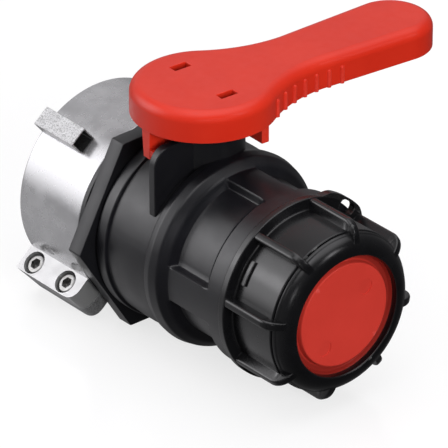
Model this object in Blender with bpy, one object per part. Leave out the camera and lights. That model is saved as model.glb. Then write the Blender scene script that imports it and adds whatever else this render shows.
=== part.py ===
"""Two-inch quarter-turn ball valve for a liquid tote, clamp collar one end, capped threaded outlet the other.

Frame: the flow axis is +X and starts on the tank-side face of the clamp collar. +Z is the stem, up.
Sizes are in millimetres and are turned into metres when a mesh is made.
"""
import math

import bmesh
import bpy
from mathutils import Matrix, Vector

MM = 0.001
GAP = 0.3

# Stations along the flow axis
STEM_X = 71.3
CLAMP_END = 42.7
HEX_START, HEX_END = 43.0, 51.2
BODY_START = 51.5
FLANGE_CREST = 88.3
NECK_START, POCKET_END = 97.0, 118.0
SHOULDER_END = 128.0
SPIGOT_END = 156.5
CAP_BACK, CAP_FRONT = 131.8, 165.9

# Main radii
BORE_R = 23.5
BALL_R = 34.0
BALL_BORE_R = 23.0
CAVITY_R = 38.2
SEAT_POCKET_R = 31.3
CLAMP_R, CLAMP_INNER_R = 45.0, 41.2
HEX_R = 51.24
COLLAR_R, BARREL_R, FLANGE_R = 44.2, 43.4, 44.7
LAND_R, POCKET_R = 40.3, 36.6
SPIGOT_R = 27.6
CAP_BODY_R, CAP_RIM_R, CAP_WING_R, CAP_OPENING_R = 36.6, 41.6, 41.4, 27.45
WING_BEND = 156.5
FIRST_WING_DEG, WINGS = 34.5, 8
TETHER_DEG, TETHER_R, TETHER_SLOT_R, TETHER_SLOT_HALF = 50.0, 45.8, 40.8, 3.1

# Outlet thread, 60 mm nominal with a 6 mm pitch, right hand
THREAD_PITCH = 6.0
THREAD_START, THREAD_TURNS = 137.0, 2.5
THREAD_STEPS = 16

# Stem tower
TOWER_R, TOWER_TOP, TOWER_LIP_R = 17.8, 66.0, 19.3
STEM_BORE_R, STEM_R, STEM_GROOVE_R = 11.6, 10.8, 9.0
STEM_FLANGE_R = 13.0
STEM_SQUARE = 13.0
STOP_X0, STOP_X1, STOP_Y, STOP_TOP = 6.4, 10.6, -35.4, 55.4

# Handle, drawn pointing along +Y and then turned to its rest pose
HANDLE_REST_DEG = -2.0
HANDLE_TOP, HANDLE_BOTTOM, HANDLE_WALL = 73.9, 60.0, 3.0
HUB_R, NECK_HALF, NECK_Y, TIP_Y, TIP_R = 31.75, 16.2, 52.0, 102.0, 18.6
HANDLE_FILLET = 5.0
GRIP_RIBS, GRIP_FIRST_Y, GRIP_PITCH = 7, 20.5, 6.9
GRIP_RIB_R = 1.25
WINDOW_X, WINDOW_HALF_X, WINDOW_HALF_Y = 16.3, 2.15, 4.3

# Clamp ears and box lug, as angles round the flow axis from +Y towards +Z
EAR_DEG, LUG_DEG = 222.0, 129.7
EAR_LENGTH, EAR_REACH, EAR_UP, EAR_DOWN = 39.8, 55.8, 9.6, -9.2
SCREW_X, SCREW_REACH = (7.6, 29.6), 50.0
LUG_LENGTH, LUG_TOP, LUG_HALF, LUG_WALL, LUG_FLOOR = 26.5, 51.0, 4.1, 1.1, 43.6
SCOOP_END = 37.0

ROUND = 36
SEAL_ROUND = 28
SMALL_ROUND = 20

BLACK = (0.018, 0.018, 0.019, 1.0)
RED = (0.62, 0.035, 0.018, 1.0)
CAST_ALUMINIUM = (0.62, 0.63, 0.64, 1.0)
STEEL = (0.42, 0.42, 0.43, 1.0)
WHITE_PTFE = (0.82, 0.81, 0.78, 1.0)
DARK_RUBBER = (0.012, 0.012, 0.012, 1.0)
PALE_POLYMER = (0.60, 0.60, 0.57, 1.0)


def clear_scene():
    for old in list(bpy.data.objects):
        bpy.data.objects.remove(old, do_unlink=True)


def material(name, colour, roughness, metallic=0.0):
    made = bpy.data.materials.new(name)
    made.use_nodes = True
    shader = made.node_tree.nodes["Principled BSDF"]
    shader.inputs["Base Color"].default_value = colour
    shader.inputs["Roughness"].default_value = roughness
    shader.inputs["Metallic"].default_value = metallic
    made.diffuse_color = colour
    return made


def add_object(name, bm):
    """Turns a millimetre bmesh into a scene object in metres, faces pointing out."""
    bmesh.ops.scale(bm, vec=(MM, MM, MM), verts=bm.verts)
    bmesh.ops.recalc_face_normals(bm, faces=bm.faces)
    mesh = bpy.data.meshes.new(name)
    bm.to_mesh(mesh)
    bm.free()
    piece = bpy.data.objects.new(name, mesh)
    bpy.context.scene.collection.objects.link(piece)
    return piece


def dress(piece, finish, smooth_deg=35.0):
    piece.data.materials.clear()
    piece.data.materials.append(finish)
    piece.data.shade_smooth()
    piece.data.set_sharp_from_angle(angle=math.radians(smooth_deg))
    return piece


def combine(target, tool, operation):
    """Applies one exact Boolean and deletes the tool."""
    step = target.modifiers.new("combine", "BOOLEAN")
    step.object = tool
    step.operation = operation
    step.solver = "EXACT"
    graph = bpy.context.evaluated_depsgraph_get()
    result = bpy.data.meshes.new_from_object(target.evaluated_get(graph))
    target.modifiers.remove(step)
    old = target.data
    target.data = result
    result.name = target.name
    bpy.data.meshes.remove(old)
    bpy.data.objects.remove(tool, do_unlink=True)


def union(target, *tools):
    for tool in tools:
        combine(target, tool, "UNION")


def cut(target, *tools):
    for tool in tools:
        combine(target, tool, "DIFFERENCE")


def arc(centre_a, centre_b, radius, start_deg, end_deg, steps):
    """Points on an arc in any 2-D plane, ends included."""
    angles = [math.radians(start_deg + (end_deg - start_deg) * i / steps) for i in range(steps + 1)]
    return [(centre_a + radius * math.cos(t), centre_b + radius * math.sin(t)) for t in angles]


def oval(centre_a, centre_b, reach_a, reach_b, start_deg, end_deg, steps):
    """Points on an upright ellipse's arc, ends included."""
    return [(centre_a + reach_a * a, centre_b + reach_b * b)
            for a, b in arc(0.0, 0.0, 1.0, start_deg, end_deg, steps)]


def about_x(along, radius, angle):
    return Vector((along, radius * math.cos(angle), radius * math.sin(angle)))


def about_z(along, radius, angle):
    return Vector((radius * math.cos(angle), radius * math.sin(angle), along))


def about_y(along, radius, angle):
    return Vector((radius * math.sin(angle), along, radius * math.cos(angle)))


def lathe(name, profile, place=about_x, segments=ROUND, start_deg=0.0):
    """Turns a closed (along, radius) outline a full circle; outline points on the axis become poles."""
    bm = bmesh.new()
    angles = [math.radians(start_deg) + math.tau * i / segments for i in range(segments)]
    columns = []
    for along, radius in profile:
        if radius < 1e-6:
            pole = bm.verts.new(place(along, 0.0, 0.0))
            columns.append([pole] * segments)
        else:
            columns.append([bm.verts.new(place(along, radius, angle)) for angle in angles])
    for first, second in zip(columns, columns[1:] + columns[:1]):
        for i in range(segments):
            j = (i + 1) % segments
            corners = []
            for vert in (first[i], first[j], second[j], second[i]):
                if vert not in corners:
                    corners.append(vert)
            if len(corners) > 2:
                bm.faces.new(corners)
    return add_object(name, bm)


def ring(name, start, end, inner, outer, place=about_x, segments=ROUND):
    return lathe(name, [(start, outer), (end, outer), (end, inner), (start, inner)], place, segments)


def torus(name, along, major, minor, place=about_x, segments=SEAL_ROUND, sides=6):
    section = [
        (along + minor * math.cos(math.tau * k / sides), major + minor * math.sin(math.tau * k / sides))
        for k in range(sides)
    ]
    return lathe(name, section, place, segments)


def rod(name, start, end, radius, place=about_x, segments=ROUND, start_deg=0.0):
    return lathe(name, [(start, 0.0), (start, radius), (end, radius), (end, 0.0)], place, segments, start_deg)


def loft(name, loops):
    """Joins equal-length loops of 3-D points into one closed solid, first and last loop capped."""
    bm = bmesh.new()
    rows = [[bm.verts.new(point) for point in loop] for loop in loops]
    count = len(rows[0])
    for lower, upper in zip(rows, rows[1:]):
        for i in range(count):
            j = (i + 1) % count
            bm.faces.new((lower[i], lower[j], upper[j], upper[i]))
    bm.faces.new(rows[0][::-1])
    bm.faces.new(rows[-1])
    return add_object(name, bm)


def box(name, low, high, turn=None):
    """A block between two corners, with an optional matrix that places it."""
    (x0, y0, z0), (x1, y1, z1) = low, high
    base = [(x0, y0), (x1, y0), (x1, y1), (x0, y1)]
    loops = [[Vector((x, y, z)) for x, y in base] for z in (z0, z1)]
    if turn is not None:
        loops = [[turn @ point for point in loop] for loop in loops]
    return loft(name, loops)


def radial_frame(angle_deg):
    """Maps (along the flow, outward, sideways) to world axes for a feature at this angle round X."""
    turn = math.radians(angle_deg)
    outward = Vector((0.0, math.cos(turn), math.sin(turn)))
    sideways = Vector((0.0, math.sin(turn), -math.cos(turn)))
    return Matrix((Vector((1.0, 0.0, 0.0)), outward, sideways)).transposed()


def sector(name, profile, start_deg, end_deg, steps):
    """Sweeps an (along, radius) outline through part of a circle round X."""
    loops = []
    for i in range(steps + 1):
        angle = math.radians(start_deg + (end_deg - start_deg) * i / steps)
        loops.append([about_x(along, radius, angle) for along, radius in profile])
    return loft(name, loops)


def helix_ridge(name, start, root_r, crest_r, root_width, crest_width, turns):
    """One thread ridge: a trapezoid swept along the helix, its height fading in and out at the ends."""
    loops = []
    total = int(turns * THREAD_STEPS)
    fade = THREAD_STEPS // 4
    for i in range(total + 1):
        angle = math.tau * (i + 0.5) / THREAD_STEPS
        along = start + THREAD_PITCH * i / THREAD_STEPS
        height = min(1.0, (i + 0.6) / fade, (total - i + 0.6) / fade)
        top = root_r + (crest_r - root_r) * height
        section = [
            (along - root_width / 2, root_r),
            (along - crest_width / 2, top),
            (along + crest_width / 2, top),
            (along + root_width / 2, root_r),
        ]
        loops.append([about_x(x, r, angle) for x, r in section])
    return loft(name, loops)


# ---------------------------------------------------------------- body that stays put

def body_outline():
    """Outside of the moulded body, from the collar to the spigot end."""
    collar = arc(BODY_START + 2.2, COLLAR_R - 2.2, 2.2, 180, 90, 2)
    collar += arc(57.0, COLLAR_R - 1.4, 1.4, 90, 10, 2)
    barrel = [(59.0, 42.7), (STEM_X, BARREL_R), (84.2, 42.5)]
    flange = [(85.2, 43.8), (86.6, 44.5), (FLANGE_CREST, FLANGE_R), (90.4, 44.3), (93.4, 42.6)]
    neck = [(NECK_START, LAND_R), (SHOULDER_END - 1.2, LAND_R), (SHOULDER_END, LAND_R - 1.2)]
    spigot = [(SHOULDER_END, SPIGOT_R), (SPIGOT_END - 0.6, SPIGOT_R), (SPIGOT_END, SPIGOT_R - 0.6)]
    return collar + barrel + flange + neck + spigot


def body_cavity():
    """Everything hollow along the flow axis, run past both ends."""
    seat_back = STEM_X + 27.3
    return [
        (BODY_START - 5.0, 0.0), (BODY_START - 5.0, 38.9), (57.8, 38.9), (57.8, CAVITY_R), (84.6, CAVITY_R),
        (86.8, SEAT_POCKET_R), (seat_back, SEAT_POCKET_R), (seat_back, 29.4), (seat_back + 2.6, 29.4),
        (seat_back + 2.6, 26.4), (seat_back, 26.4), (seat_back, BORE_R), (SPIGOT_END + 5.0, BORE_R),
        (SPIGOT_END + 5.0, 0.0),
    ]


def tower():
    profile = [
        (30.0, 0.0), (30.0, TOWER_R), (TOWER_TOP - 3.2, TOWER_R), (TOWER_TOP - 2.0, TOWER_LIP_R),
        (TOWER_TOP - 0.5, TOWER_LIP_R), (TOWER_TOP, TOWER_LIP_R - 0.5), (TOWER_TOP, 0.0),
    ]
    made = lathe("tower", profile, about_z, 32)
    made.location.x = STEM_X * MM
    bpy.context.view_layer.update()
    return made


def stop_plate():
    """Upright plate beside the tower that the handle's tabs run into at each end of the turn."""
    corner = 8.5
    side = [(STOP_Y, 24.0)]
    side += arc(STOP_Y + corner, STOP_TOP - corner, corner, 180, 90, 5)
    side += [(-12.0, STOP_TOP), (-12.0, 24.0)]
    loops = [[Vector((STEM_X + x, y, z)) for y, z in side] for x in (STOP_X0, STOP_X1)]
    return loft("stop_plate", loops)


def neck_pocket(index):
    """A shallow recess between two lands of the outlet neck, its front wall sloping outwards."""
    centre, half = 45.0 + 90.0 * index, 34.0
    profile = [
        (NECK_START + 1.0, POCKET_R), (POCKET_END, POCKET_R), (POCKET_END + 8.4, POCKET_R + 9.4),
        (NECK_START - 1.6, POCKET_R + 9.4), (NECK_START - 1.6, POCKET_R + 3.0),
    ]
    return sector(f"neck_pocket_{index}", profile, centre - half, centre + half, 6)


def make_valve_body(finish):
    outline = [(BODY_START, 0.0)] + body_outline() + [(SPIGOT_END, 0.0)]
    body = lathe("valve_body", outline)
    union(body, tower(), stop_plate())
    cut(body, lathe("cavity", body_cavity()))
    bore = rod("stem_bore", 30.0, TOWER_TOP + 5.0, STEM_BORE_R, about_z, 24, 2.0)
    seat = rod("flange_counterbore", 20.0, 39.7, STEM_FLANGE_R + 0.4, about_z, 24, 5.0)
    for tool in (bore, seat):
        tool.location.x = STEM_X * MM
    bpy.context.view_layer.update()
    cut(body, bore, seat)
    cut(body, *[neck_pocket(index) for index in range(4)])
    union(body, helix_ridge("outlet_thread", THREAD_START, SPIGOT_R - 0.6, 29.7, 3.2, 1.5, THREAD_TURNS))
    return dress(body, finish)


def make_inlet_end_nut(finish):
    """Hexagon-headed end piece that screws into the body and holds the ball between its seats."""
    seat_back = STEM_X - 27.3
    outline = [
        (22.0, 0.0), (22.0, 40.0), (22.6, 40.6), (37.6, 40.6), (38.2, 40.0), (38.2, 33.5), (44.0, 33.5),
        (44.0, 38.6), (52.4, 38.6), (52.4, 36.1), (55.2, 36.1), (55.2, 38.6), (56.9, 38.6), (57.4, 38.1),
        (57.4, 0.0),
    ]
    hollow = [
        (17.0, 0.0), (17.0, BORE_R), (seat_back, BORE_R), (seat_back, 26.4), (seat_back - 2.6, 26.4),
        (seat_back - 2.6, 29.4), (seat_back, 29.4), (seat_back, SEAT_POCKET_R),
        (STEM_X - 15.5, SEAT_POCKET_R), (STEM_X - 15.5, 36.0), (70.0, 36.0), (70.0, 0.0),
    ]
    nut = lathe("inlet_end_nut", outline)
    union(nut, rod("hexagon", HEX_START, HEX_END, HEX_R, about_x, 6))
    cut(nut, lathe("nut_hollow", hollow))
    return dress(nut, finish)


def make_seat(name, side, finish):
    """Ring that the ball slides on; side is -1 for the inlet and +1 for the outlet."""
    section = [(24.4, 24.2), (17.2, 31.0), (27.0, 31.0), (27.0, 24.2)]
    if side > 0:
        section = section[::-1]
    return dress(lathe(name, [(STEM_X + side * along, radius) for along, radius in section]), finish)


def make_clamp_ring(finish):
    profile = [
        (0.0, CLAMP_R - 0.4), (0.4, CLAMP_R), (CLAMP_END - 0.4, CLAMP_R), (CLAMP_END, CLAMP_R - 0.4),
        (CLAMP_END, 35.0), (38.5, 35.0), (38.5, CLAMP_INNER_R), (4.0, CLAMP_INNER_R), (4.0, 36.0),
        (0.0, 36.0),
    ]
    clamp = lathe("clamp_ring", profile, about_x, 40)
    ear = radial_frame(EAR_DEG)
    corner = 7.5
    shape = [(0.0, 42.2), (0.0, EAR_REACH - 1.0), (1.0, EAR_REACH)]
    shape += arc(EAR_LENGTH - corner, EAR_REACH - corner, corner, 90, 0, 5) + [(EAR_LENGTH, 42.2)]
    loops = [[ear @ Vector((x, out, side)) for x, out in shape] for side in (EAR_DOWN, EAR_UP)]
    union(clamp, loft("ears", loops))
    lug = radial_frame(LUG_DEG)
    union(clamp, box("lug", (0.0, 42.2, -LUG_HALF), (LUG_LENGTH, LUG_TOP, LUG_HALF), lug))
    inner = LUG_HALF - LUG_WALL
    tunnel = box(
        "lug_tunnel", (2.0, LUG_FLOOR, -inner), (LUG_LENGTH + 3.0, LUG_TOP - LUG_WALL, inner), lug
    )
    scoop_loops = []
    for x, floor, half in (
        (LUG_LENGTH - 2.0, LUG_FLOOR, inner), (LUG_LENGTH + 5.0, LUG_FLOOR + 0.3, inner),
        (SCOOP_END, LUG_FLOOR + 1.6, inner + 0.6),
    ):
        corners = ((floor, -half), (47.0, -half), (47.0, half), (floor, half))
        scoop_loops.append([lug @ Vector((x, out, side)) for out, side in corners])
    split = box("split", (-5.0, 30.0, -2.3), (50.0, 62.0, -0.7), ear)
    cut(clamp, tunnel, loft("scoop", scoop_loops), split)
    for centre in SCREW_X:
        cut(clamp, *screw_holes(centre))
    return dress(clamp, finish)


def screw_axis(centre):
    """Places a piece drawn along +Z, with z = 0 on the ear's top face, on one clamp screw's axis."""
    frame = radial_frame(EAR_DEG)
    across, outward, normal = (frame @ Vector(axis) for axis in ((1, 0, 0), (0, 1, 0), (0, 0, 1)))
    turn = Matrix((across, normal.cross(across), normal)).transposed().to_4x4()
    origin = across * centre + outward * SCREW_REACH + normal * EAR_UP
    return Matrix.Translation(origin * MM) @ turn


def screw_holes(centre):
    pocket = rod("counterbore", -5.6, 3.0, 5.4, about_z, SMALL_ROUND, 4.0)
    shank = rod("shank_hole", -25.0, -5.0, 3.4, about_z, 16, 7.0)
    for tool in (pocket, shank):
        tool.matrix_world = screw_axis(centre)
    bpy.context.view_layer.update()
    return pocket, shank


def make_clamp_screw(name, centre, finish):
    """Socket-head cap screw: the head in its counterbore, the shank down through both ears."""
    profile = [
        (-17.5, 0.0), (-17.5, 2.6), (-17.0, 3.0), (-5.3, 3.0), (-5.3, 4.9), (-0.8, 4.9), (-0.3, 4.4),
        (-0.3, 0.0),
    ]
    screw = lathe(name, profile, about_z, SMALL_ROUND)
    cut(screw, rod("socket", -3.6, 1.0, 2.9, about_z, 6))
    screw.matrix_world = screw_axis(centre)
    return dress(screw, finish)


# ---------------------------------------------------------------- what turns with the handle

def handle_outline(inset=0.0):
    """Plan of the handle in its own frame: round hub, waisted neck, round-ended paddle along +Y."""
    hub, neck, tip = HUB_R - inset, NECK_HALF - inset, TIP_R - inset
    sweep = (neck * neck + NECK_Y * NECK_Y - hub * hub) / (2.0 * (hub - neck))
    meet = math.degrees(math.atan2(NECK_Y, neck + sweep))
    half = arc(0.0, 0.0, hub, -90.0, meet, 12)
    half += arc(neck + sweep, NECK_Y, sweep, 180.0 + meet, 180.0, 5)[1:]
    half += arc(0.0, TIP_Y, tip, 0.0, 90.0, 6)
    mirrored = [(-x, y) for x, y in half[-2:0:-1]]
    return half + mirrored


def handle_half_width(y):
    """Distance from the centreline to the handle's side at this distance from the stem."""
    sweep = (NECK_HALF ** 2 + NECK_Y ** 2 - HUB_R ** 2) / (2.0 * (HUB_R - NECK_HALF))
    if y > NECK_Y:
        return NECK_HALF + (TIP_R - NECK_HALF) * (y - NECK_Y) / (TIP_Y - NECK_Y)
    meet_y = HUB_R * math.sin(math.atan2(NECK_Y, NECK_HALF + sweep))
    if y < meet_y:
        return math.sqrt(HUB_R ** 2 - y ** 2)
    return NECK_HALF + sweep - math.sqrt(sweep ** 2 - (NECK_Y - y) ** 2)


def plan_prism(name, layers):
    """Stacks the handle's plan at (inset, height) layers into a solid."""
    loops = [[Vector((x, y, height)) for x, y in handle_outline(inset)] for inset, height in layers]
    return loft(name, loops)


def stop_tabs():
    """The two tabs under the hub: one meets the stop plate when shut, the other when open."""
    root = HANDLE_BOTTOM + 5.0
    side = [(-1.0, 47.2), (3.2, 47.2), (3.2, root), (-2.6, root)]
    shut_tab = loft("shut_tab", [[Vector((x, y, z)) for x, z in side] for y in (-31.2, -19.6)])
    shut_foot = box("shut_foot", (3.0, -31.0, 47.4), (STOP_X0 - 0.4, -21.0, 51.5))
    face = STOP_X1 + GAP
    return shut_tab, shut_foot, box("open_tab", (17.2, face, 50.6), (26.3, face + 3.9, root))


def snap_hook(side):
    """Hook that clips under the tower's lip and holds the handle down."""
    top = HANDLE_TOP - 2.0
    outline = [(20.2, top), (20.2, 63.5), (18.4, 62.4), (18.4, 61.2), (22.2, 61.2), (22.2, top)]
    loops = [[Vector((side * x, y, z)) for x, z in outline] for y in (-3.9, 3.9)]
    return loft("snap_hook", loops)


def make_handle(finish):
    fillet = [
        (HANDLE_FILLET * (1.0 - math.cos(t)), HANDLE_TOP - HANDLE_FILLET * (1.0 - math.sin(t)))
        for t in (math.radians(step * 22.5) for step in range(5))
    ]
    handle = plan_prism("handle", [(0.0, HANDLE_BOTTOM)] + fillet)
    hollow_top = HANDLE_TOP - HANDLE_WALL
    cut(handle, plan_prism("handle_hollow", [(HANDLE_WALL, HANDLE_BOTTOM - 3.0), (HANDLE_WALL, hollow_top)]))
    root = hollow_top + 1.0
    boss = rod("boss", 61.6, root, 11.0, about_z, SMALL_ROUND)
    union(handle, boss, snap_hook(-1), snap_hook(1), *stop_tabs())
    web_low = HANDLE_BOTTOM + 2.0
    union(handle, box("spine", (-1.1, 24.0, web_low), (1.1, TIP_Y + TIP_R - 2.0, root)))
    for y in (42.0, 62.0, 82.0, 102.0):
        reach = handle_half_width(y) - 1.5
        union(handle, box("cross_web", (-reach, y - 1.0, web_low + 0.7), (reach, y + 1.0, root)))
    for index in range(GRIP_RIBS):
        y = GRIP_FIRST_Y + GRIP_PITCH * index
        for side in (-1, 1):
            rib = rod("grip_rib", HANDLE_BOTTOM + 0.05, HANDLE_TOP - 5.6, GRIP_RIB_R, about_z, 8)
            rib.location = (side * (handle_half_width(y) - 0.35) * MM, y * MM, 0.0)
            bpy.context.view_layer.update()
            union(handle, rib)
    half = STEM_SQUARE / 2 + GAP
    cut(handle, box("stem_socket", (-half, -half, 55.0), (half, half, 69.8)))
    for x in (-WINDOW_X, WINDOW_X):
        low = (x - WINDOW_HALF_X, -WINDOW_HALF_Y, hollow_top - 2.0)
        high = (x + WINDOW_HALF_X, WINDOW_HALF_Y, HANDLE_TOP + 2.0)
        cut(handle, box("window", low, high))
    return dress(handle, finish)


def make_ball(finish):
    """Drilled ball, its bore across the flow at rest; the outline's closing edge is the bore's wall."""
    edge = math.degrees(math.asin(BALL_BORE_R / BALL_R))
    ball = lathe("ball", arc(0.0, 0.0, BALL_R, edge, 180.0 - edge, 10), about_y, 30)
    cut(ball, box("drive_slot", (-40.0, -4.3, 26.5), (40.0, 4.3, 40.0)))
    return dress(ball, finish)


def make_stem(finish):
    """Tang in the ball's slot, retaining flange, shaft with two seal grooves, and the driven square."""
    profile = [
        (35.4, 0.0), (35.4, STEM_FLANGE_R), (38.2, STEM_FLANGE_R), (38.2, STEM_R), (44.0, STEM_R),
        (44.0, STEM_GROOVE_R), (46.8, STEM_GROOVE_R), (46.8, STEM_R), (50.0, STEM_R), (50.0, STEM_GROOVE_R),
        (52.8, STEM_GROOVE_R), (52.8, STEM_R), (60.6, STEM_R),
        (61.2, STEM_R - 0.6), (61.2, 0.0),
    ]
    stem = lathe("stem", profile, about_z, SMALL_ROUND)
    half = STEM_SQUARE / 2
    union(stem, box("tang", (-11.0, -4.0, 26.9), (11.0, 4.0, 36.0)))
    union(stem, box("square", (-half, -half, 60.0), (half, half, 69.3)))
    return dress(stem, finish)


# ---------------------------------------------------------------- outlet cap

def wing(index):
    """One grip rib along the cap, highest at the rim and rolling over onto the front ring."""
    shape = [(CAP_BACK + 1.5, 35.0), (CAP_BACK + 1.5, CAP_WING_R - 0.4), (CAP_BACK + 4.0, CAP_WING_R)]
    shape += [(WING_BEND, CAP_WING_R)] + oval(WING_BEND, 32.0, 8.4, CAP_WING_R - 32.0, 66, 6, 4)
    shape += [(CAP_FRONT - 1.0, 31.2)]
    frame = radial_frame(FIRST_WING_DEG + 360.0 / WINGS * index)
    loops = []
    for side, sink in ((-1.9, 1.6), (-1.0, 0.0), (1.0, 0.0), (1.9, 1.6)):
        loops.append([frame @ Vector((x, out - (sink if out > 35.5 else 0.0), side)) for x, out in shape])
    return loft(f"wing_{index}", loops)


def tether_tab():
    """Bulge of the cap's rim with a slot for a lanyard."""
    frame = radial_frame(TETHER_DEG)
    shape = arc(0.0, 0.0, TETHER_R, 114.0, 66.0, 8) + [(16.0, 33.0), (-16.0, 33.0)]
    loops = []
    for along in (CAP_BACK, CAP_BACK + 3.4):
        loops.append([frame @ Vector((along, out, side)) for side, out in shape])
    return loft("tether_tab", loops)


def tether_slot():
    frame = radial_frame(TETHER_DEG)
    half, centre = TETHER_SLOT_HALF, TETHER_SLOT_R
    shape = arc(2.4, centre, half, -90, 90, 6) + arc(-2.4, centre, half, 90, 270, 6)
    ends = (CAP_BACK - 3.0, CAP_BACK + 8.0)
    loops = [[frame @ Vector((along, out, side)) for side, out in shape] for along in ends]
    return loft("tether_slot", loops)


def make_outlet_cap(finish):
    front = oval(CAP_FRONT - 7.3, CAP_OPENING_R + 0.9, 7.3, 7.7, 68, 0, 4)
    profile = [
        (CAP_BACK, CAP_RIM_R - 0.5), (CAP_BACK + 0.5, CAP_RIM_R), (CAP_BACK + 3.0, CAP_RIM_R),
        (CAP_BACK + 3.6, CAP_RIM_R - 0.6), (CAP_BACK + 3.6, CAP_BODY_R + 0.6), (CAP_BACK + 4.2, CAP_BODY_R),
        (159.0, CAP_BODY_R - 0.3), (159.4, CAP_BODY_R - 0.9), (160.2, CAP_BODY_R - 0.5),
    ]
    profile += front
    profile += [
        (CAP_FRONT, CAP_OPENING_R + 0.5), (CAP_FRONT - 0.5, CAP_OPENING_R), (162.7, CAP_OPENING_R),
        (162.7, 30.6), (CAP_BACK + 1.0, 30.6), (CAP_BACK, 31.6),
    ]
    cap = lathe("outlet_cap", profile)
    union(cap, tether_tab())
    cut(cap, tether_slot())
    union(cap, *[wing(index) for index in range(WINGS)])
    union(cap, helix_ridge("cap_thread", THREAD_START + THREAD_PITCH / 2, 31.2, 28.2, 2.0, 1.1, 2.0))
    return dress(cap, finish)


def make_seal_disc(finish):
    """Red closing disc: a raised flat middle in the cap's opening, and a flange under its lip."""
    profile = [
        (159.4, 0.0), (163.8, 0.0), (163.8, 22.6), (163.2, 23.3), (162.2, 23.5), (162.2, 27.0), (162.4, 27.2),
        (162.4, 30.2), (159.4, 30.2),
    ]
    return dress(lathe("seal_disc", profile[::-1]), finish)


def parent_to(pivot, *pieces):
    for piece in pieces:
        piece.parent = pivot


def build():
    clear_scene()
    black = material("black_polymer", BLACK, 0.38)
    gloss_black = material("gloss_black_polymer", BLACK, 0.26)
    red = material("red_polymer", RED, 0.42)
    cast = material("cast_aluminium", CAST_ALUMINIUM, 0.32, 0.9)
    steel = material("zinc_steel", STEEL, 0.35, 1.0)
    ptfe = material("ptfe", WHITE_PTFE, 0.5)
    rubber = material("seal_rubber", DARK_RUBBER, 0.7)
    pale = material("ball_polymer", PALE_POLYMER, 0.3)

    make_valve_body(black)
    make_inlet_end_nut(black)
    make_clamp_ring(cast)
    make_clamp_screw("clamp_screw_rear", SCREW_X[0], steel)
    make_clamp_screw("clamp_screw_front", SCREW_X[1], steel)
    dress(ring("inlet_gasket", 19.6, 21.7, 25.0, 39.0), rubber)
    dress(torus("end_oring", 53.8, 37.5, 1.0), rubber)
    for name, side in (("inlet", -1), ("outlet", 1)):
        make_seat(f"seat_{name}", side, ptfe)
        dress(torus(f"seat_oring_{name}", STEM_X + side * 28.6, 27.9, 1.1), rubber)

    handle_pivot = bpy.data.objects.new("handle_pivot", None)
    bpy.context.scene.collection.objects.link(handle_pivot)
    handle_pivot.location = (STEM_X * MM, 0.0, 0.0)
    handle_pivot.rotation_euler = (0.0, 0.0, math.radians(HANDLE_REST_DEG))
    parent_to(
        handle_pivot,
        make_handle(red),
        make_stem(black),
        make_ball(pale),
        dress(torus("stem_oring_lower", 45.4, 10.1, 0.85, about_z), rubber),
        dress(torus("stem_oring_upper", 51.4, 10.1, 0.85, about_z), rubber),
        dress(ring("stem_thrust_washer", 38.5, 39.4, 11.2, STEM_FLANGE_R, about_z, SEAL_ROUND), ptfe),
    )

    make_outlet_cap(gloss_black)
    make_seal_disc(red)
    dress(ring("cap_gasket", 156.8, 159.1, 24.2, 30.0), rubber)
    bpy.context.view_layer.update()


build()
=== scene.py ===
"""Looks of a clamp-on tank ball valve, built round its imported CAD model.

The flow axis is +X and the stem points up +Z. Lengths are in millimetres until a mesh is made, and
most of them repeat the CAD model's own sizes with finer steps and rounded edges.
"""
import math

import bmesh
import bpy
from mathutils import Matrix, Vector


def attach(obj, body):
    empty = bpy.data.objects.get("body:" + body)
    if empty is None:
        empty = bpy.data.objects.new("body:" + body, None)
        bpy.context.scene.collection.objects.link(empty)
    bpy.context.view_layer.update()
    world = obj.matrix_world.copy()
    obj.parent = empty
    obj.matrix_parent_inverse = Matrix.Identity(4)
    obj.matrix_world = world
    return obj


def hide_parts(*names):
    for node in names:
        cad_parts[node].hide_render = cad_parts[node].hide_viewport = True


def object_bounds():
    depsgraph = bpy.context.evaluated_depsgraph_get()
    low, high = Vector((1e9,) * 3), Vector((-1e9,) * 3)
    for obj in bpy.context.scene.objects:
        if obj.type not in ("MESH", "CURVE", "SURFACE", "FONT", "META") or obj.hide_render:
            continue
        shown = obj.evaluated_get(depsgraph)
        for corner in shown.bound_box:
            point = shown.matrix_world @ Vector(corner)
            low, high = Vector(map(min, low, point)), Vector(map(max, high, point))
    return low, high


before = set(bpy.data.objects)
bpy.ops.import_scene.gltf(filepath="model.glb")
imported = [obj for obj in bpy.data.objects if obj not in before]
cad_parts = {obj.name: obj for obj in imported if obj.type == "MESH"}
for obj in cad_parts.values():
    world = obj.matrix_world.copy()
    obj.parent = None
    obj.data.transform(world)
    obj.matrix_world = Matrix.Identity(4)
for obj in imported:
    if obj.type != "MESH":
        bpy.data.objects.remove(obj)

CAD_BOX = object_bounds()
MM = 0.001

# Stations along the flow axis
STEM_X = 71.3
CLAMP_END = 40.7
HEX_START, HEX_END = 43.0, 51.2
BODY_START, FLANGE_CREST = 51.5, 88.3
NECK_START, POCKET_END, SHOULDER_END = 97.0, 118.0, 130.1
SPIGOT_END = 156.5
CAP_BACK, CAP_FRONT = 130.7, 165.9

# Radii
BORE_R, BALL_R, BALL_BORE_R = 23.5, 34.0, 23.0
CLAMP_R, CLAMP_INNER_R = 45.0, 41.2
HEX_R, HEX_TURN_DEG, NUT_LIP_R = 52.2, 2.0, 45.6
COLLAR_R, BARREL_R, FLANGE_R = 44.2, 43.4, 44.7
LAND_R, POCKET_R, SPIGOT_R = 40.3, 36.6, 27.6
CAP_BODY_R, CAP_RIM_R, CAP_WING_R, CAP_OPENING_R = 36.6, 41.6, 41.4, 27.45

# Outlet thread
THREAD_PITCH, THREAD_START = 6.0, 137.0
THREAD_STEPS = 48

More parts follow.
